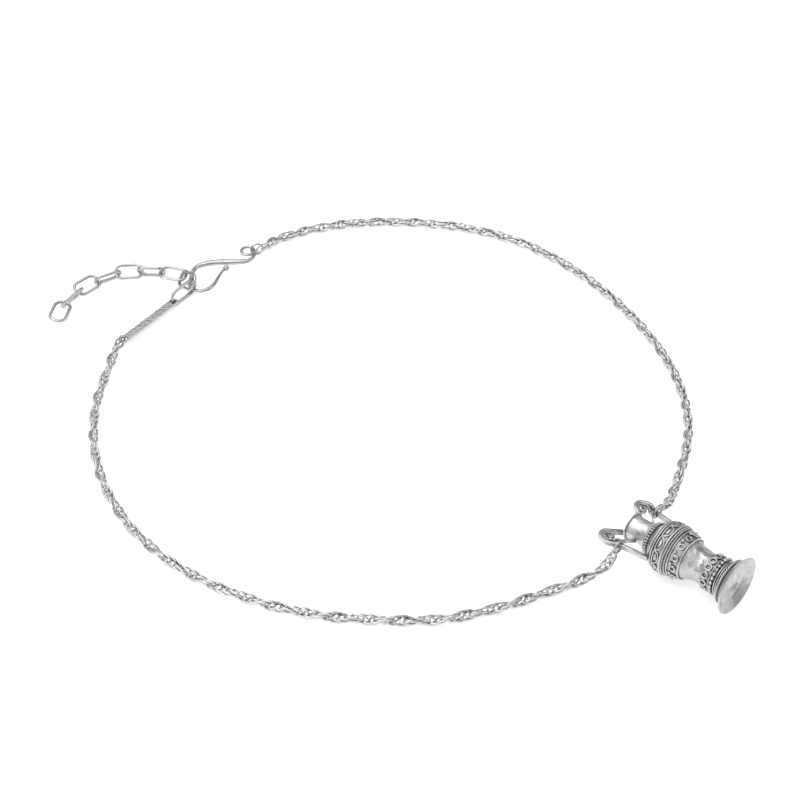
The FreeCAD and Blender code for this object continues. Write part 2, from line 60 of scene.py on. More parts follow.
# ---------------------------------------------------------------- mesh helpers
class Bag:
    """Collects rings of points into one mesh; everything in millimetres."""

    def __init__(self):
        self.verts = []
        self.faces = []

    def rings(self, rings, closed=False, caps=True):
        """Skin a list of equal rings of points."""
        start = len(self.verts)
        sides = len(rings[0])
        for ring in rings:
            self.verts.extend(ring)
        spans = len(rings) if closed else len(rings) - 1
        for i in range(spans):
            a, b = start + i * sides, start + ((i + 1) % len(rings)) * sides
            for j in range(sides):
                k = (j + 1) % sides
                self.faces.append((a + j, a + k, b + k, b + j))
        if caps and not closed:
            self.faces.append(tuple(range(start + sides - 1, start - 1, -1)))
            last = start + (len(rings) - 1) * sides
            self.faces.append(tuple(range(last, last + sides)))

    def tube(self, points, radii, sides=12, closed=False, normal=None, flat=1.0):
        """Round or flattened wire along points; normal keeps the section upright."""
        count = len(points)
        if not isinstance(radii, (list, tuple)):
            radii = [radii] * count
        rings = []
        side = None
        for i, point in enumerate(points):
            after = points[(i + 1) % count] if closed or i + 1 < count else point
            before = points[i - 1] if closed or i > 0 else point
            tangent = (after - before).normalized()
            if normal is not None:
                side = normal.cross(tangent).normalized()
            elif side is None:
                side = tangent.orthogonal().normalized()
            else:
                side = (side - tangent * side.dot(tangent)).normalized()
            top = tangent.cross(side)
            ring = []
            for j in range(sides):
                angle = 2 * math.pi * j / sides
                ring.append(point + side * (radii[i] * math.cos(angle))
                            + top * (radii[i] * flat * math.sin(angle)))
            rings.append(ring)
        if closed and normal is None:
            self._untwist(rings, points)
        self.rings(rings, closed)

    @staticmethod
    def _untwist(rings, points):
        """Spread the leftover turn of a closed tube's section over its length."""
        sides = len(rings[0])
        first, last = rings[0], rings[-1]
        shifts = [sum((first[(j + s) % sides] - last[j]).length for j in range(sides))
                  for s in range(sides)]
        shift = shifts.index(min(shifts))
        if shift > sides / 2:
            shift -= sides
        for i, ring in enumerate(rings):
            move = round(shift * i / len(rings))
            rings[i] = [ring[(j - move) % sides] for j in range(sides)]

    def ball(self, centre, radius, up=UP, rows=8, sides=12, squash=1.0):
        """Granule, as rings between two small caps."""
        up = up.normalized()
        side = up.orthogonal().normalized()
        other = up.cross(side)
        rings = []
        for i in range(rows + 1):
            polar = math.pi * (i + 0.12) / (rows + 0.24)
            flat_radius = radius * math.sin(polar)
            rings.append([centre + up * (radius * squash * math.cos(polar))
                          + side * (flat_radius * math.cos(2 * math.pi * j / sides))
                          + other * (flat_radius * math.sin(2 * math.pi * j / sides))
                          for j in range(sides)])
        self.rings(rings[::-1])

    def sweep(self, points, profile, normal):
        """Flat strip: profile pairs are (in-plane, along normal)."""
        rings = []
        for i, point in enumerate(points):
            tangent = (points[min(i + 1, len(points) - 1)] - points[max(i - 1, 0)]).normalized()
            side = tangent.cross(normal).normalized()
            rings.append([point + side * a + normal * b for a, b in profile])
        self.rings(rings)

    def finish(self, name, body, slot, nodes, material, matrix=None, smooth=True):
        mesh = bpy.data.meshes.new(name)
        matrix = matrix or Matrix.Translation(SHIFT)
        mesh.from_pydata([(matrix @ v) * MM for v in self.verts], [], self.faces)
        mesh.validate()
        mesh.polygons.foreach_set("use_smooth", [smooth] * len(mesh.polygons))
        mesh.materials.append(material)
        obj = bpy.data.objects.new(name, mesh)
        bpy.context.scene.collection.objects.link(obj)
        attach(obj, body)
        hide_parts(*nodes)
        return obj


def fillet(points, radii, closed=False, step=12.0):
    """Points along straight runs joined by tangent arcs."""
    count = len(points)
    path = []
    corners = range(count) if closed else range(1, count - 1)
    if not closed:
        path.append(points[0])
    for place, i in enumerate(corners):
        here = points[i]
        a = (points[i - 1] - here).normalized()
        b = (points[(i + 1) % count] - here).normalized()
        radius = radii[place]
        half = a.angle(b) / 2
        centre = here + (a + b).normalized() * (radius / math.sin(half))
        start = here + a * (radius / math.tan(half))
        end = here + b * (radius / math.tan(half))
        steps = max(3, round(math.degrees(math.pi - 2 * half) / step))
        first, last = start - centre, end - centre
        turn = first.angle(last)
        for k in range(steps + 1):
            w = k / steps
            mixed = (first * math.sin((1 - w) * turn) + last * math.sin(w * turn)) / math.sin(turn)
            path.append(centre + mixed)
    if not closed:
        path.append(points[-1])
    return path


def catmull(points, steps, closed=False):
    """Smooth points through given ones; works on vectors and numbers alike."""
    count = len(points)
    path = []
    for i in range(count if closed else count - 1):
        p0 = points[(i - 1) % count] if closed else points[max(i - 1, 0)]
        p1 = points[i]
        p2 = points[(i + 1) % count]
        p3 = points[(i + 2) % count] if closed else points[min(i + 2, count - 1)]
        for k in range(steps):
            t = k / steps
            path.append(0.5 * (2 * p1 + (p2 - p0) * t + (2 * p0 - 5 * p1 + 4 * p2 - p3) * t * t
                               + (3 * p1 - 3 * p2 + p3 - p0) * t * t * t))
    if not closed:
        path.append(points[-1])
    return path


# ---------------------------------------------------------------- materials
GRAIN_DEPTH = 0.02
STIPPLE_DEPTH = 0.12
HAMMER_DEPTH = 0.3
AO_OPEN, AO_CLOSED = 0.92, 0.25


def silver(name, bright, dark, rough, patina_and_shade_reach=0.7, grain=1.0, stipple=0.0, beaten=0.0,
           painted_shade_spot=None):
    """Worked silver: darker where ambient occlusion is low, partly its real blackened patina in the
    hollows and partly painted shade on undersides near the floor and where parts meet, with fine
    wear and tool marks; the last argument is a patch of painted shade, given as its centre and
    reach in millimetres."""
    material = bpy.data.materials.new(name)
    material.use_nodes = True
    tree = material.node_tree
    nodes, links = tree.nodes, tree.links
    shader = nodes["Principled BSDF"]
    shader.inputs["Metallic"].default_value = 1.0
    where = nodes.new("ShaderNodeTexCoord")

    def noise_at(scale, detail):
        node = nodes.new("ShaderNodeTexNoise")
        node.inputs["Scale"].default_value = scale
        node.inputs["Detail"].default_value = detail
        links.new(where.outputs["Object"], node.inputs["Vector"])
        return node.outputs["Fac"]

    def ranged(value, low, high, to_low, to_high):
        node = nodes.new("ShaderNodeMapRange")
        for key, number in zip(("From Min", "From Max", "To Min", "To Max"),
                               (low, high, to_low, to_high)):
            node.inputs[key].default_value = number
        links.new(value, node.inputs["Value"])
        return node.outputs["Result"]

    def mixed(factor, first, second, kind="MIX"):
        node = nodes.new("ShaderNodeMix")
        node.data_type = "RGBA"
        node.blend_type = kind
        for socket, value in ((node.inputs["Factor"], factor), (node.inputs["A"], first),
                              (node.inputs["B"], second)):
            if isinstance(value, bpy.types.NodeSocket):
                links.new(value, socket)
            else:
                socket.default_value = value
        return node.outputs["Result"]

    # Ambient occlusion pulls the colour to the dark tone: partly real blackened patina in hollows,
    # partly painted shade on undersides near the floor and between parts.
    shade = nodes.new("ShaderNodeAmbientOcclusion")
    shade.samples = 8
    shade.inputs["Distance"].default_value = patina_and_shade_reach * MM
    depth = ranged(shade.outputs["AO"], AO_CLOSED, AO_OPEN, 0.0, 1.0)
    tarnish = ranged(noise_at(330.0, 4.0), 0.35, 0.65, 0.86, 1.0)
    worn = mixed(tarnish, (bright[0] * 0.82, bright[1] * 0.81, bright[2] * 0.8, 1),
                 (*bright, 1))
    # Painted shade: the colour darkens to the dark tone round a given spot, darkest at its centre.
    if painted_shade_spot:
        apart = nodes.new("ShaderNodeVectorMath")
        apart.operation = "DISTANCE"
        apart.inputs[1].default_value = tuple(v * MM for v in painted_shade_spot[0])
        links.new(where.outputs["Object"], apart.inputs[0])
        clear = ranged(apart.outputs["Value"], 0.2 * painted_shade_spot[1] * MM, painted_shade_spot[1] * MM, 0.12, 1.0)
        worn = mixed(clear, (*dark, 1), worn)
    colour = mixed(depth, (*dark, 1), worn)
    links.new(colour, shader.inputs["Base Color"])
    links.new(ranged(noise_at(900.0, 5.0), 0.3, 0.7, rough * 0.7, rough * 1.45),
              shader.inputs["Roughness"])
    bump = nodes.new("ShaderNodeBump")
    bump.inputs["Distance"].default_value = GRAIN_DEPTH * MM
    bump.inputs["Strength"].default_value = 0.5 * grain
    links.new(noise_at(1700.0, 6.0), bump.inputs["Height"])
    out = bump
    if beaten:
        hammer = nodes.new("ShaderNodeBump")
        hammer.inputs["Distance"].default_value = HAMMER_DEPTH * MM
        hammer.inputs["Strength"].default_value = beaten
        links.new(noise_at(620.0, 3.0), hammer.inputs["Height"])
        links.new(bump.outputs["Normal"], hammer.inputs["Normal"])
        out = hammer
    if stipple:
        cells = nodes.new("ShaderNodeTexVoronoi")
        cells.inputs["Scale"].default_value = 2600.0
        links.new(where.outputs["Object"], cells.inputs["Vector"])
        dents = nodes.new("ShaderNodeBump")
        dents.inputs["Distance"].default_value = STIPPLE_DEPTH * MM
        dents.inputs["Strength"].default_value = stipple
        links.new(cells.outputs["Distance"], dents.inputs["Height"])
        links.new(bump.outputs["Normal"], dents.inputs["Normal"])
        out = dents
    links.new(out.outputs["Normal"], shader.inputs["Normal"])
    return material


SATIN = silver("satin_silver", (0.55, 0.545, 0.535), (0.18, 0.176, 0.17), 0.36, 1.3, 1.6)
BEATEN = silver("beaten_silver", (0.5, 0.495, 0.487), (0.16, 0.156, 0.15), 0.4, 2.6, 1.0,
                beaten=1.0)
DISHED = silver("dull_silver", (0.56, 0.555, 0.545), (0.24, 0.235, 0.23), 0.42, 1.0, 1.4,
                beaten=0.6)
# Floor dish silver, with painted shade on one side of the dish's hollow.
DISH_PAINTED_SHADE = silver("dish_silver_painted_shade", (0.62, 0.615, 0.605), (0.14, 0.137, 0.133), 0.45, 1.0, 1.4, beaten=1.0,
              painted_shade_spot=((6.1, -85.6, 9.8), 6.0))
PALE = silver("pale_silver", (0.62, 0.615, 0.605), (0.2, 0.196, 0.19), 0.42, 1.2, 1.6, beaten=0.6)
BAND = silver("blackened_silver", (0.42, 0.415, 0.408), (0.1, 0.098, 0.095), 0.4, 0.7)
WIRED = silver("oxidised_silver", (0.6, 0.595, 0.585), (0.18, 0.177, 0.172), 0.34, 0.4)
SCROLL = silver("scroll_silver", (0.55, 0.545, 0.535), (0.17, 0.166, 0.16), 0.34, 2.4)
BRIGHT = silver("bright_silver", (0.5, 0.495, 0.487), (0.25, 0.246, 0.24), 0.36, 1.3, 0.6)
STAMPED = silver("stamped_silver", (0.46, 0.455, 0.445), (0.26, 0.255, 0.25), 0.3, 0.9, 1.4, 1.0)
CHAIN = silver("chain_silver", (0.64, 0.635, 0.625), (0.3, 0.297, 0.29), 0.36, 0.6, 0.6)

# ---------------------------------------------------------------- rope chains
LEFT_CHAIN = [
    (-9.15, -66.7, 4.95), (-11.2, -66.8, 3.0), (-15.0, -64.8, 1.35), (-22.2, -61.6, 1.12),
    (-32.6, -56.8, 1.12), (-43.4, -50.1, 1.12), (-51.5, -40.9, 1.12), (-58.9, -31.0, 1.12),
    (-64.3, -19.9, 1.12), (-67.8, -8.0, 1.12), (-69.0, 3.6, 1.12), (-67.8, 15.6, 1.12),
    (-63.6, 28.0, 1.12), (-56.9, 39.2, 1.12), (-47.9, 48.6, 1.12), (-40.4, 53.9, 1.12),
    (-35.2, 57.2, 1.15), (-31.45, 59.75, 1.6),
]
RIGHT_CHAIN = [
    (8.55, -66.1, 4.7), (10.2, -65.9, 4.2), (12.9, -64.9, 2.4), (16.9, -63.2, 1.25),
    (24.2, -60.2, 1.12), (34.4, -54.9, 1.12), (43.6, -46.5, 1.12), (51.1, -35.8, 1.12),
    (57.0, -22.6, 1.12), (60.6, -9.2, 1.12), (62.0, 4.0, 1.12), (61.2, 16.7, 1.12),
    (56.7, 29.0, 1.12), (50.4, 39.2, 1.12), (41.8, 49.0, 1.12), (32.5, 56.0, 1.12),
    (25.4, 59.3, 1.12), (20.8, 60.7, 1.2), (16.85, 60.35, 1.6),
]
CHAIN_WIRE = 0.23
LINK_REACH = 1.72
LINK_HALF = 0.94
LINK_PITCH = math.radians(9)
LINK_LEAN = math.radians(20)
LINK_ADVANCE = 1.2


def spline_points(name, route):
    """The route's own smooth line, read from a NURBS spline."""
    curve = bpy.data.curves.new(name, "CURVE")
    curve.dimensions = "3D"
    spline = curve.splines.new("NURBS")
    spline.points.add(len(route) - 1)
    for point, place in zip(spline.points, route):
        point.co = (*((Vector(place) + SHIFT) * MM), 1.0)
    spline.order_u = 3
    spline.use_endpoint_u = True
    spline.resolution_u = 24
    holder = bpy.data.objects.new(name, curve)
    mesh = bpy.data.meshes.new_from_object(holder)
    points = [v.co / MM - SHIFT for v in mesh.vertices]
    bpy.data.objects.remove(holder)
    bpy.data.meshes.remove(mesh)
    return points


def rope_chain(name, node, route, half_turn, phase):
    """Oval wire links threaded in a flat band that is twisted along the route."""
    path = spline_points(name + "_line", route)
    along = [0.0]
    for a, b in zip(path, path[1:]):
        along.append(along[-1] + (b - a).length)
    total = along[-1]
    sides = []
    side = Vector((0, 0, 1))
    for i in range(len(path)):
        tangent = (path[min(i + 1, len(path) - 1)] - path[max(i - 1, 0)]).normalized()
        side = (side - tangent * side.dot(tangent)).normalized()
        sides.append((tangent, side))
    bag = Bag()
    count = round(total / LINK_ADVANCE)
    j = 0
    for k in range(count + 1):
        s = total * k / count
        while j < len(along) - 2 and along[j + 1] < s:
            j += 1
        w = (s - along[j]) / (along[j + 1] - along[j])
        centre = path[j].lerp(path[j + 1], w)
        tangent, side = sides[j]
        angle = -math.pi * s / half_turn + phase + random.uniform(-0.05, 0.05)
        other = tangent.cross(side)
        band = side * math.cos(angle) + other * math.sin(angle)
        face = tangent.cross(band)
        pitch = LINK_PITCH + random.uniform(-0.04, 0.04)
        long_axis = tangent * math.cos(pitch) + face * math.sin(pitch)
        level = face * math.cos(pitch) - tangent * math.sin(pitch)
        short_axis = band * math.cos(LINK_LEAN) + level * math.sin(LINK_LEAN)
        points = []
        for i in range(26):
            turn = 2 * math.pi * i / 26
            c, d = math.cos(turn), math.sin(turn)
            reach = LINK_REACH * math.copysign(abs(c) ** 0.8, c)
            half = LINK_HALF * math.copysign(abs(d) ** 0.85, d)
            points.append(centre + long_axis * reach + short_axis * half)
        lift = CHAIN_WIRE + 0.02 - min(p.z for p in points)
        if lift > 0:
            points = [p + UP * lift for p in points]
        bag.tube(points, CHAIN_WIRE, 8, closed=True,
                 normal=long_axis.cross(short_axis).normalized())
    obj = bag.finish(name, "rope_chains", "chain_silver", [node], CHAIN)
    return obj


rope_chain("left_rope_chain_links", "left_rope_chain", LEFT_CHAIN, 6.4, 1.97)
rope_chain("right_rope_chain_links", "right_rope_chain", RIGHT_CHAIN, 4.6, 1.1)

# ---------------------------------------------------------------- amphora
PROFILE = [
    (0.0, 6.4), (0.35, 6.2), (0.8, 5.6), (1.3, 4.95), (1.7, 4.5), (2.2, 4.12),
    (2.8, 3.78), (3.4, 3.55), (4.05, 3.45), (4.7, 3.55), (5.8, 3.68), (6.8, 3.58),
    (7.5, 3.46), (8.3, 3.45), (9.2, 3.58), (10.2, 3.9), (11.0, 4.22), (11.8, 4.5),
    (12.8, 4.76), (13.8, 4.98), (14.8, 5.16), (15.8, 5.34), (16.6, 5.4), (17.3, 5.26),
    (18.0, 4.95), (18.7, 4.48), (19.4, 3.9), (20.1, 3.42), (20.8, 3.12), (21.6, 2.86),
    (22.8, 2.66), (24.0, 2.6), (25.2, 2.66), (26.2, 2.85),
]
WALL = 0.45
TILT = math.radians(2.241)
ROLL = math.radians(4.0)
to_mouth = Vector((0, math.cos(TILT), -math.sin(TILT)))
over = Vector((0, math.sin(TILT), math.cos(TILT)))
near_side = Vector((-1, 0, 0)) * math.cos(ROLL) + over * math.sin(ROLL)
third = to_mouth.cross(near_side)
foot_centre = Vector((-0.5, -91.0, 6.395)) + SHIFT
LAY = Matrix(((near_side.x, third.x, to_mouth.x, foot_centre.x),
              (near_side.y, third.y, to_mouth.y, foot_centre.y),
              (near_side.z, third.z, to_mouth.z, foot_centre.z),
              (0, 0, 0, 1)))
outline = catmull([Vector((r, 0, t)) for t, r in PROFILE], 12)


def radius_at(height):
    for a, b in zip(outline, outline[1:]):
        if a.z <= height <= b.z:
            w = (height - a.z) / max(b.z - a.z, 1e-9)
            return a.x + (b.x - a.x) * w
    return outline[-1].x if height > 13 else outline[0].x


def surface_at(height):
    low, high = max(height - 0.05, 0.0), min(height + 0.05, 26.2)
    slope = (radius_at(high) - radius_at(low)) / (high - low)
    return Vector((radius_at(height), 0, height)), Vector((1, 0, -slope)).normalized()


def turned(point, angle):
    c, s = math.cos(angle), math.sin(angle)
    return Vector((point.x * c - point.y * s, point.x * s + point.y * c, point.z))


def dented(radius, height, angle, depth):
    """Hand-raised metal: slow, shallow waves in the wall."""
    place = Vector((math.cos(angle) * 1.6, math.sin(angle) * 1.6, height * 0.34))
    wave = noise.noise(place) + 0.45 * noise.noise(place * 2.3) + 0.16 * noise.noise(place * 6)
    return radius + depth * wave


def wall_piece(name, stations, depth, material=SATIN, nodes=None, segments=160):
    """Turned wall through (height, radius, dent) stations."""
    rings = []
    for height, radius, share in stations:
        rings.append([Vector((dented(radius, height, a, depth * share) * math.cos(a),
                              dented(radius, height, a, depth * share) * math.sin(a), height))
                      for a in (2 * math.pi * i / segments for i in range(segments))])
    bag = Bag()
    bag.rings(rings, caps=False)
    return bag.finish(name, "amphora_pendant", "satin_silver", nodes or [name.replace("_wall", "")],
                      material, LAY)


def outside(low, high, count):
    stations = []
    for i in range(count + 1):
        height = low + (high - low) * i / count
        edge = min(1.0, min(height - low, high - height) / 0.8)
        stations.append((height, radius_at(height), edge))
    return stations


foot_inside = [(3.3, 3.12, 0), (2.7, 3.4, 0.3), (2.2, 3.72, 0.6), (1.7, 4.1, 1), (1.2, 4.62, 1),
               (0.7, 5.3, 1), (0.35, 5.82, 0.6), (0.12, 6.1, 0.2), (0.03, 6.2, 0), (0.0, 6.29, 0),
               (0.03, 6.38, 0), (0.12, 6.38, 0.2)]
foot_stations = foot_inside + [s for s in outside(0.2, 2.2, 22)]
wall_piece("amphora_foot_wall", foot_stations, 0.02, DISHED)
wall_piece("amphora_collar_wall", outside(2.2, 6.95, 30), 0.02, BAND)
wall_piece("amphora_waist_wall", outside(6.95, 11.15, 60), 0.2, BEATEN)
wall_piece("amphora_belly_wall", outside(11.15, 17.5, 40), 0.02, BAND)
wall_piece("amphora_shoulder_wall", outside(17.5, 20.8, 30), 0.04)
neck_stations = outside(20.8, 26.0, 40)[:-1]
neck_stations += [(26.05, 2.8, 0), (26.16, 2.79, 0), (26.2, 2.68, 0), (26.2, 2.52, 0),
                  (26.1, 2.43, 0)]
neck_stations += [(t, radius_at(t) - WALL, 0)
                  for t in (25.6, 24.8, 23.5, 22.2, 21.2, 20.4, 19.4, 18.4)]
wall_piece("amphora_neck_wall", neck_stations, 0.05, PALE)

DISH_POINTS = [(0.002, 2.6), (1.4, 2.55), (2.5, 2.35), (3.3, 2.02), (3.95, 1.62), (4.48, 1.34)]


def dish_ring(radius, height, segments=96):
    """One ring of the floor dish, slightly uneven."""
    ring = []
    for a in (2 * math.pi * i / segments for i in range(segments)):
        x, y = math.cos(a), math.sin(a)
        dent = dented(radius, height, a, 0.02)
        swell = 0.03 * noise.noise(Vector((radius * x, radius * y, 3)) * 0.7)
        ring.append(Vector((dent * x, dent * y, height + swell)))
    return ring


bag = Bag()
bag.rings([dish_ring(p.x, p.y) for p in catmull([Vector(p) for p in DISH_POINTS], 6)], caps=False)
bag.finish("amphora_floor_dish", "amphora_pendant", "oxidised_silver", ["amphora_inner_floor"],
           DISH_PAINTED_SHADE, LAY)


def round_wire(bag, height, radius, sides=10, segments=180):
    """Soldered wire, very slightly uneven."""
    point, normal = surface_at(height)
    centre = point + normal * radius
    points = []
    for i in range(segments):
        angle = 2 * math.pi * i / segments
        wave = 0.025 * noise.noise(Vector((math.cos(angle) * 3, math.sin(angle) * 3, height)))
        points.append(turned(centre + UP * wave, angle))
    bag.tube(points, radius, sides, closed=True)


def twisted_wire(bag, height, radius, turns, reverse=1):
    """Two strands laid round each other."""
    point, normal = surface_at(height)
    axial = Vector((-normal.z, 0, normal.x))
    strand = radius * 0.54
    centre = point + normal * radius
    steps = turns * 8
    for phase in (0, math.pi):
        points = []
        for i in range(steps):
            angle = 2 * math.pi * i / steps
            twist = reverse * turns * angle + phase
            offset = normal * (math.cos(twist) * (radius - strand))
            offset += axial * (math.sin(twist) * (radius - strand))
            points.append(turned(centre + offset, angle))
        bag.tube(points, strand, 7, closed=True)


def granules(bag, height, radius, count, offset=0.0, uneven=0.05):
    point, normal = surface_at(height)
    for i in range(count):
        size = radius * (1 + random.uniform(-uneven, uneven))
        angle = 2 * math.pi * (i + offset + random.uniform(-0.05, 0.05)) / count
        bag.ball(turned(point + normal * (size * 0.9), angle), size, turned(normal, angle))


def wire_rings(bag, height, outer, wire, count):
    """Little rings of wire soldered flat on the wall."""
    point, normal = surface_at(height)
    axial = Vector((-normal.z, 0, normal.x))
    for i in range(count):
        angle = 2 * math.pi * (i + random.uniform(-0.03, 0.03)) / count
        size = outer - wire + random.uniform(-0.02, 0.02)
        stretch = 1 + random.uniform(-0.04, 0.04)
        points = []
        for k in range(28):
            turn = 2 * math.pi * k / 28
            spot = point + normal * (wire + 0.02)
            spot = spot + axial * (size * stretch * math.cos(turn))
            spot = spot + Vector((0, 1, 0)) * (size / stretch * math.sin(turn))
            points.append(turned(spot, angle))
        bag.tube(points, wire, 9, closed=True, normal=turned(normal, angle))


def pendant_piece(bag, name, node, slot="oxidised_silver", material=WIRED):
    return bag.finish(name, "amphora_pendant", slot, [node], material, LAY)


# piece, CAD node, then each maker with its height, size and count
BANDS = [
    ("mouth_lip", "mouth_lip_wire", (round_wire, 25.98, 0.2)),
    ("neck_base_beading", "neck_base_granules", (granules, 20.72, 0.27, 33, 0, 0.12),
     (granules, 20.16, 0.27, 36, 0.5, 0.12)),
    ("shoulder_wire_pair", "shoulder_wires", (round_wire, 18.3, 0.2), (round_wire, 17.75, 0.2)),
    ("girdle_round_wire", "girdle_wire", (round_wire, 15.4, 0.26)),
    ("girdle_twist", "girdle_twisted_wire", (twisted_wire, 14.88, 0.25, 36)),
    ("belly_wire_pair", "belly_wires", (twisted_wire, 14.38, 0.23, 36, -1),
     (round_wire, 13.85, 0.17)),
    ("belly_border", "belly_border_wire", (round_wire, 11.5, 0.2)),
    ("collar_wire_set", "collar_wires", (round_wire, 4.72, 0.15), (round_wire, 3.32, 0.16),
     (round_wire, 2.74, 0.15)),
    ("foot_twist", "foot_twisted_wire", (twisted_wire, 1.8, 0.32, 26)),
    ("collar_bead_row", "collar_beads", (granules, 4.05, 0.44, 25, 0, 0.03)),
    ("belly_granule_row", "belly_granules", (granules, 13.12, 0.37, 12, 0.5, 0.08)),
    ("belly_ring_row", "belly_rings", (wire_rings, 12.58, 0.74, 0.17, 12)),
    ("collar_ring_row", "collar_rings", (wire_rings, 5.82, 0.84, 0.185, 14)),
]
for piece, node, *makers in BANDS:
    bag = Bag()
    for make, *values in makers:
        make(bag, *values)
    pendant_piece(bag, piece, node)

# scallops: D-shaped loops with their straight side towards the mouth
SCALLOPS = 11
scallop_bag = Bag()
dome_bag = Bag()
for i in range(SCALLOPS):
    middle = 2 * math.pi * (i + 0.3) / SCALLOPS
    shape = [(-1.28, 0.62), (-0.64, 0.66), (0, 0.67), (0.64, 0.66), (1.28, 0.62), (1.4, 0.36),
             (1.2, -0.16), (0.76, -0.52), (0, -0.68), (-0.76, -0.52), (-1.2, -0.16), (-1.4, 0.36)]
    loop, fill = [], []
    uneven = [Vector((x * (1 + random.uniform(-0.02, 0.02)), y)) for x, y in shape]
    for a, b in catmull(uneven, 4, True):
        point, normal = surface_at(16.5 + b)
        loop.append(turned(point + normal * 0.17, middle + a / point.x))
        point, normal = surface_at(16.52 + b * 0.56)
        fill.append((turned(point, middle + a * 0.6 / point.x), turned(normal, middle)))
    scallop_bag.tube(loop, 0.165, 9, closed=True)
    heart = sum((p for p, _ in fill), Vector()) / len(fill)
    rings = []
    for share, lift in ((1.0, 0.0), (0.96, 0.13), (0.8, 0.2), (0.5, 0.25), (0.15, 0.27)):
        rings.append([heart.lerp(p, share) + n * lift for p, n in fill])
    if (rings[0][1] - rings[0][0]).cross(heart - rings[0][0]).dot(fill[0][1]) < 0:
        rings = [ring[::-1] for ring in rings]
    dome_bag.rings(rings)
pendant_piece(scallop_bag, "scallop_wires", "scallop_loops")
pendant_piece(dome_bag, "scallop_bosses", "scallop_domes", material=BEATEN)

# handles
HANDLE_LINE = [(5.78, 18.0), (6.35, 23.2), (6.75, 25.2), (7.75, 27.1), (6.95, 29.5),
               (5.3, 29.45), (2.95, 26.27)]
HANDLE_RADII = [4.0, 3.5, 1.6, 1.05, 0.9]
RIBBON_LINE = [(3.0, 22.9), (4.9, 24.4), (5.85, 26.0), (7.1, 27.15), (6.52, 28.89), (5.61, 28.86),
               (4.75, 27.65), (5.2, 26.6), (6.2, 27.1), (6.0, 28.1)]
RIBBON_RADII = [1.6, 2.0, 1.0, 0.5, 0.35, 0.5, 0.5, 0.4]
STRAP_SECTION = (0.375, 0.6, 0.16)  # half thickness, half width, corner radius
RIBBON_SECTION = (0.21, 0.5, 0.1)
HANDLE_BEADS = [(6.72, 25.75), (7.0, 26.45)]
HANDLE_BEAD_RADIUS = 0.3
HANDLE_BEAD_OUT = 0.88
ACROSS_HANDLE = Vector((0, 1, 0))


def strip_profile(half_thickness, half_width, corner):
    """Rectangle with rounded corners."""
    pairs = []
    for sx, sy, first in ((1, 1, 0), (-1, 1, 90), (-1, -1, 180), (1, -1, 270)):
        for step in range(4):
            angle = math.radians(first + 30 * step)
            pairs.append((sx * (half_thickness - corner) + corner * math.cos(angle),
                          sy * (half_width - corner) + corner * math.sin(angle)))
    return pairs


for word, side in (("near", 1), ("far", -1)):
    line = [Vector((side * x, 0, z)) for x, z in HANDLE_LINE]
    bag = Bag()
    bag.sweep(fillet(line, HANDLE_RADII, step=9.0), strip_profile(*STRAP_SECTION), ACROSS_HANDLE)
    pendant_piece(bag, word + "_handle_scroll", word + "_handle_strap", material=SCROLL)
    line = [Vector((side * x, 0, z)) for x, z in RIBBON_LINE]
    bag = Bag()
    bag.sweep(fillet(line, RIBBON_RADII, step=9.0), strip_profile(*RIBBON_SECTION), ACROSS_HANDLE)
    pendant_piece(bag, word + "_handle_inner_ribbon", word + "_handle_ribbon", material=SCROLL)
    bag = Bag()
    for x, z in HANDLE_BEADS:
        for face in (1, -1):
            bag.ball(Vector((side * x, face * HANDLE_BEAD_OUT, z)), HANDLE_BEAD_RADIUS,
                     Vector((0, face, 0)), 9, 14)
    pendant_piece(bag, word + "_handle_beads", word + "_handle_granules")


# ---------------------------------------------------------------- end rings
END_RING_RADIUS = 1.45
END_RING_WIRE = 0.25


def end_ring(name, node, body, centre, out):
    """Round wire ring standing in the plane of out and up."""
    out = Vector(out).normalized()
    centre = Vector(centre)
    points = [centre + out * (END_RING_RADIUS * math.cos(a)) + UP * (END_RING_RADIUS * math.sin(a))
              for a in (2 * math.pi * i / 56 for i in range(56))]
    ring = Bag()
    ring.tube(points, END_RING_WIRE, 14, closed=True, normal=out.cross(UP).normalized())
    return ring.finish(name, body, "bright_silver", [node], BRIGHT)


bar_angle = math.radians(4.6)
bar_dir = Vector((math.cos(bar_angle), math.sin(bar_angle), 0))
bar_at = Vector((-20.3, 60.75, 0))
bar_ring_at = bar_at - bar_dir * 9.7
end_ring("near_handle_jump_ring", "near_handle_ring", "amphora_pendant", (-7.584, -66.701, 5.898),
         (-1, 0, 0))
end_ring("far_handle_jump_ring", "far_handle_ring", "amphora_pendant", (6.704, -66.287, 4.966),
         (1, 0, 0))
end_ring("bar_jump_ring", "bar_end_ring", "rope_chains", (bar_ring_at.x, bar_ring_at.y, 1.7),
         bar_dir)
clasp_out = Vector((0.848, -0.53, 0)).normalized()
clasp_ring_at = Vector((13.5, 62.1, 1.7)) + clasp_out * 2.27
end_ring("clasp_jump_ring", "clasp_end_ring", "rope_chains", clasp_ring_at, clasp_out)

# ---------------------------------------------------------------- tag bar
BAR_HALF_LENGTH = 9.38
BAR_HALF_WIDTH = 0.83
BAR_HALF_THICKNESS = 0.375
BAR_EDGE = 0.12
BAR_LEVEL = 1.525
BAR_HOLE_AT = 8.25
BAR_HOLE_RADIUS = 0.8
plate = bpy.data.curves.new("tag_bar_plate", "CURVE")
plate.dimensions = "2D"
plate.fill_mode = "BOTH"
plate.extrude = (BAR_HALF_THICKNESS - BAR_EDGE) * MM
plate.bevel_depth = BAR_EDGE * MM
plate.bevel_resolution = 3


def outline_spline(points):
    spline = plate.splines.new("POLY")
    spline.points.add(len(points) - 1)
    for spot, place in zip(spline.points, points):
        spot.co = (place[0] * MM, place[1] * MM, 0, 1)
    spline.use_cyclic_u = True


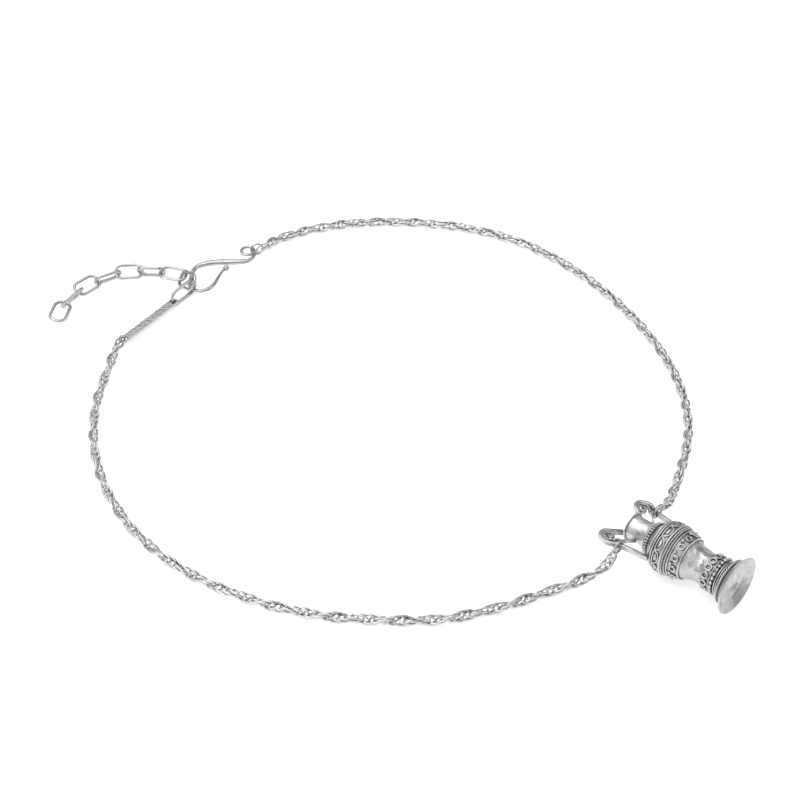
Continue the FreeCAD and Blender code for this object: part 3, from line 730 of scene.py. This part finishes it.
corners = [Vector((sx * BAR_HALF_LENGTH, sy * BAR_HALF_WIDTH, 0))
           for sx, sy in ((-1, -1), (1, -1), (1, 1), (-1, 1))]
outline_spline(fillet(corners, [0.5] * 4, closed=True, step=15))
for sx in (-1, 1):
    outline_spline([(sx * BAR_HOLE_AT + BAR_HOLE_RADIUS * math.cos(a),
                     BAR_HOLE_RADIUS * math.sin(a))
                    for a in (-2 * math.pi * i / 32 for i in range(32))])
holder = bpy.data.objects.new("tag_bar_holder", plate)
plate_mesh = bpy.data.meshes.new_from_object(holder)
bpy.data.objects.remove(holder)
plate_mesh.transform(Matrix.Translation((bar_at + SHIFT + UP * BAR_LEVEL) * MM)
                     @ Matrix.Rotation(bar_angle, 4, "Z"))
plate_mesh.materials.clear()
plate_mesh.materials.append(STAMPED)
tag = bpy.data.objects.new("tag_bar_plate", plate_mesh)
bpy.context.scene.collection.objects.link(tag)
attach(tag, "tag_bar")
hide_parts("tag_bar")

# ---------------------------------------------------------------- extender links
LINK_WIRE = 0.4
LINK_HALF_LENGTH = 3.575
BAR_LINK_HALF_LENGTH = 4.4
LINK_HALF_WIDTH = 1.85
LINK_CORNER = 1.55
# node: centre, heading, pitch and roll
LINKS = {
    "bar_link": (-8.12, 61.73, 2.25, 4.6, 0, 90),
    "extender_link_8": (-5.0, 63.82, 2.65, 78.4, -18.5, -48.6),
    "extender_link_7": (-4.9, 68.84, 1.91, -63.4, -0.6, 5.9),
    "extender_link_6": (-7.9, 73.31, 2.06, -50.9, -0.2, 117.5),
    "extender_link_5": (-11.47, 77.38, 1.89, -42.7, -0.7, 15.6),
    "extender_link_4": (-16.4, 79.47, 2.04, -18.2, -0.2, 123.4),
    "extender_link_3": (-21.6, 80.99, 1.87, -2.8, 0.8, 15.6),
    "extender_link_2": (-26.98, 80.15, 1.93, 7.1, 0.5, 124.9),
    "extender_end_link": (-31.77, 79.03, 1.24, 29.9, 2.3, 8.0),
}
for node, (x, y, z, heading, pitch, roll) in LINKS.items():
    heading, pitch, roll = (math.radians(v) for v in (heading, pitch, roll))
    forward = Vector((math.cos(heading) * math.cos(pitch), math.sin(heading) * math.cos(pitch),
                      math.sin(pitch)))
    level = Vector((-math.sin(heading), math.cos(heading), 0))
    across = level * math.cos(roll) + forward.cross(level) * math.sin(roll)
    long_half = (BAR_LINK_HALF_LENGTH if node == "bar_link" else LINK_HALF_LENGTH) - LINK_WIRE
    points = [Vector((x, y, z)) + forward * (sx * long_half) + across * (sy * LINK_HALF_WIDTH)
              for sx, sy in ((-1, -1), (1, -1), (1, 1), (-1, 1))]
    bag = Bag()
    bag.tube(fillet(points, [LINK_CORNER] * 4, closed=True, step=9.0), LINK_WIRE, 16, closed=True,
             normal=forward.cross(across).normalized())
    bag.finish(node + "_wire", node, "bright_silver", [node], BRIGHT)

# ---------------------------------------------------------------- hook clasp
HOOK_LEVEL = 1.58
HOOK_EYE_AT = (13.5, 62.1)
HOOK_EYE_RADIUS = 1.55
HOOK_EYE_WIRE = 0.4
HOOK_BALL_RADIUS = 0.75
# plan place and wire radius
HOOK_LINE = [
    (14.3, 60.3, 0.36), (13.2, 59.6, 0.42), (12.1, 59.25, 0.5), (11.0, 59.3, 0.57),
    (10.1, 59.75, 0.64), (9.2, 60.55, 0.7), (8.0, 61.8, 0.76), (6.5, 63.4, 0.8),
    (5.0, 64.8, 0.8), (3.4, 65.9, 0.76), (1.9, 66.6, 0.7), (0.5, 66.75, 0.64),
    (-1.0, 66.2, 0.6), (-2.3, 65.2, 0.54), (-3.7, 64.2, 0.48), (-4.9, 63.1, 0.46),
    (-5.5, 61.8, 0.46), (-5.3, 60.4, 0.46), (-4.4, 59.3, 0.5), (-2.8, 58.7, 0.54),
    (-1.0, 58.95, 0.52), (0.6, 59.6, 0.46), (2.5, 60.5, 0.38), (4.5, 61.2, 0.32),
]
smooth_line = catmull([Vector(p) for p in HOOK_LINE], 5)
bag = Bag()
bag.tube([Vector((p.x, p.y, HOOK_LEVEL)) for p in smooth_line], [p.z for p in smooth_line], 20,
         normal=UP, flat=0.86)
eye = [Vector((HOOK_EYE_AT[0] + HOOK_EYE_RADIUS * math.cos(a),
               HOOK_EYE_AT[1] + HOOK_EYE_RADIUS * math.sin(a), HOOK_LEVEL))
       for a in (2 * math.pi * i / 64 for i in range(64))]
bag.tube(eye, HOOK_EYE_WIRE, 16, closed=True, normal=UP)
bag.finish("hook_clasp_body", "hook", "bright_silver", ["hook_clasp"], BRIGHT)
bag = Bag()
bag.ball(Vector((5.3, 61.15, HOOK_LEVEL)), HOOK_BALL_RADIUS, Vector((0.94, 0.33, 0)), 14, 20)
bag.finish("hook_ball_tip", "hook", "bright_silver", ["hook_ball"], BRIGHT)

# ---------------------------------------------------------------- floor and light
bpy.ops.mesh.primitive_plane_add(size=3.0, location=(0, 0, -0.00002))
floor = bpy.context.object
floor.name = "floor"
paper = bpy.data.materials.new("pale_paper")
paper.use_nodes = True
nodes, links = paper.node_tree.nodes, paper.node_tree.links
shader = nodes["Principled BSDF"]
shader.inputs["Roughness"].default_value = 0.6
shader.inputs["Emission Strength"].default_value = 0.5
shader.inputs["Emission Color"].default_value = (1, 1, 1, 1)
speck = nodes.new("ShaderNodeTexNoise")
speck.inputs["Scale"].default_value = 60.0
tone = nodes.new("ShaderNodeMapRange")
tone.inputs["To Min"].default_value = 0.88
tone.inputs["To Max"].default_value = 0.92
links.new(speck.outputs["Fac"], tone.inputs["Value"])
links.new(tone.outputs["Result"], shader.inputs["Base Color"])
floor.data.materials.append(paper)

world = bpy.data.worlds.new("studio")
bpy.context.scene.world = world
world.use_nodes = True
nodes, links = world.node_tree.nodes, world.node_tree.links
background = nodes["Background"]
coordinate = nodes.new("ShaderNodeTexCoord")
split = nodes.new("ShaderNodeSeparateXYZ")
links.new(coordinate.outputs["Generated"], split.inputs["Vector"])
ramp = nodes.new("ShaderNodeValToRGB")
ramp.color_ramp.elements[0].position = 0.0
ramp.color_ramp.elements[0].color = (0.12, 0.12, 0.125, 1)
ramp.color_ramp.elements[1].position = 1.0
ramp.color_ramp.elements[1].color = (1.0, 1.0, 1.0, 1)
middle_stop = ramp.color_ramp.elements.new(0.35)
middle_stop.color = (0.5, 0.5, 0.51, 1)
links.new(split.outputs["Z"], ramp.inputs["Fac"])
links.new(ramp.outputs["Color"], background.inputs["Color"])
background.inputs["Strength"].default_value = 0.6


def softbox(name, place, target, size, power):
    light = bpy.data.lights.new(name, "AREA")
    light.shape = "RECTANGLE"
    light.size, light.size_y = size
    light.energy = power
    holder = bpy.data.objects.new(name, light)
    holder.location = place
    aim = Vector(target) - Vector(place)
    holder.rotation_euler = aim.to_track_quat("-Z", "Y").to_euler()
    bpy.context.scene.collection.objects.link(holder)


softbox("top_softbox", (-0.1, 0.25, 0.85), (0, 0, 0), (1.2, 0.9), 6.5)
softbox("left_softbox", (-0.8, 0.0, 0.35), (0, 0, 0), (0.4, 0.7), 1.6)
softbox("right_strip", (0.55, -0.5, 0.4), (0, 0, 0), (0.2, 0.7), 0.9)
